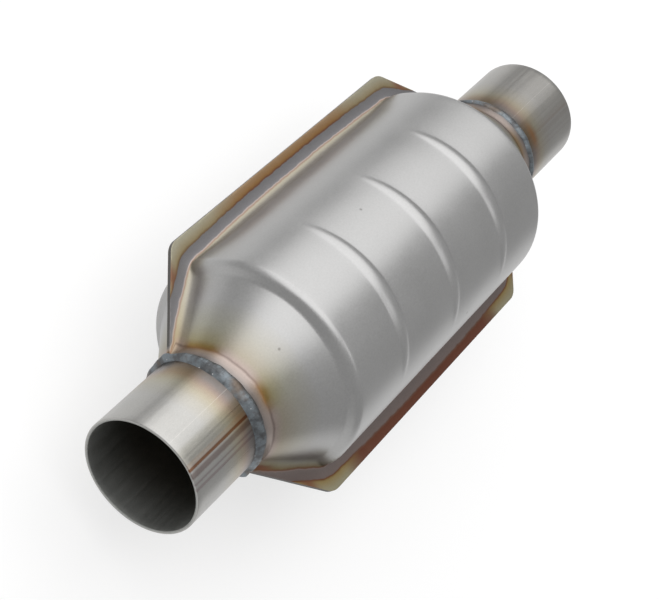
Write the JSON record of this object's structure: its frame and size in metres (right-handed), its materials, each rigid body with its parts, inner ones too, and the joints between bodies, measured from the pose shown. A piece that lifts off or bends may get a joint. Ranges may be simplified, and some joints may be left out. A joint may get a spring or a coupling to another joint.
{
  "type": "catalytic converter",
  "caption": "Welded clamshell catalytic converter: a ribbed round barrel between cones, side flanges and a straight end tube at each end, with ceramic bricks in fibre mats inside.",
  "frame": {"origin": "on the gas axis, halfway along the overall length, in the plane where the two half shells meet", "axes": "+X along the gas axis from the inlet to the outlet, +Y across the flanges, +Z square to the flanges through the crown of the upper shell"},
  "size_m": [0.389, 0.1486, 0.1224],
  "materials": {
    "shell_steel": "satin pressed stainless sheet with heat tint beside the welds",
    "tube_steel": "drawn stainless tube with fine lengthwise lines and heat tint",
    "weld_metal": "blue-grey oxidised weld ripples",
    "brick_ceramic": "matte porous ceramic with fine square channels",
    "fibre_mat": "matte pressed fibre with mica flakes",
    "wire_mesh": "knitted wire pressed into a ring"
  },
  "bodies": {
    "root": {"upper_shell": "shell_steel", "lower_shell": "shell_steel", "inlet_pipe": "tube_steel", "outlet_pipe": "tube_steel", "inlet_weld_bead": "weld_metal", "outlet_weld_bead": "weld_metal", "front_brick": "brick_ceramic", "rear_brick": "brick_ceramic", "front_mat": "fibre_mat", "rear_mat": "fibre_mat", "front_inlet_side_seal": "wire_mesh", "front_outlet_side_seal": "wire_mesh", "rear_inlet_side_seal": "wire_mesh", "rear_outlet_side_seal": "wire_mesh"}
  },
  "joints": []
}
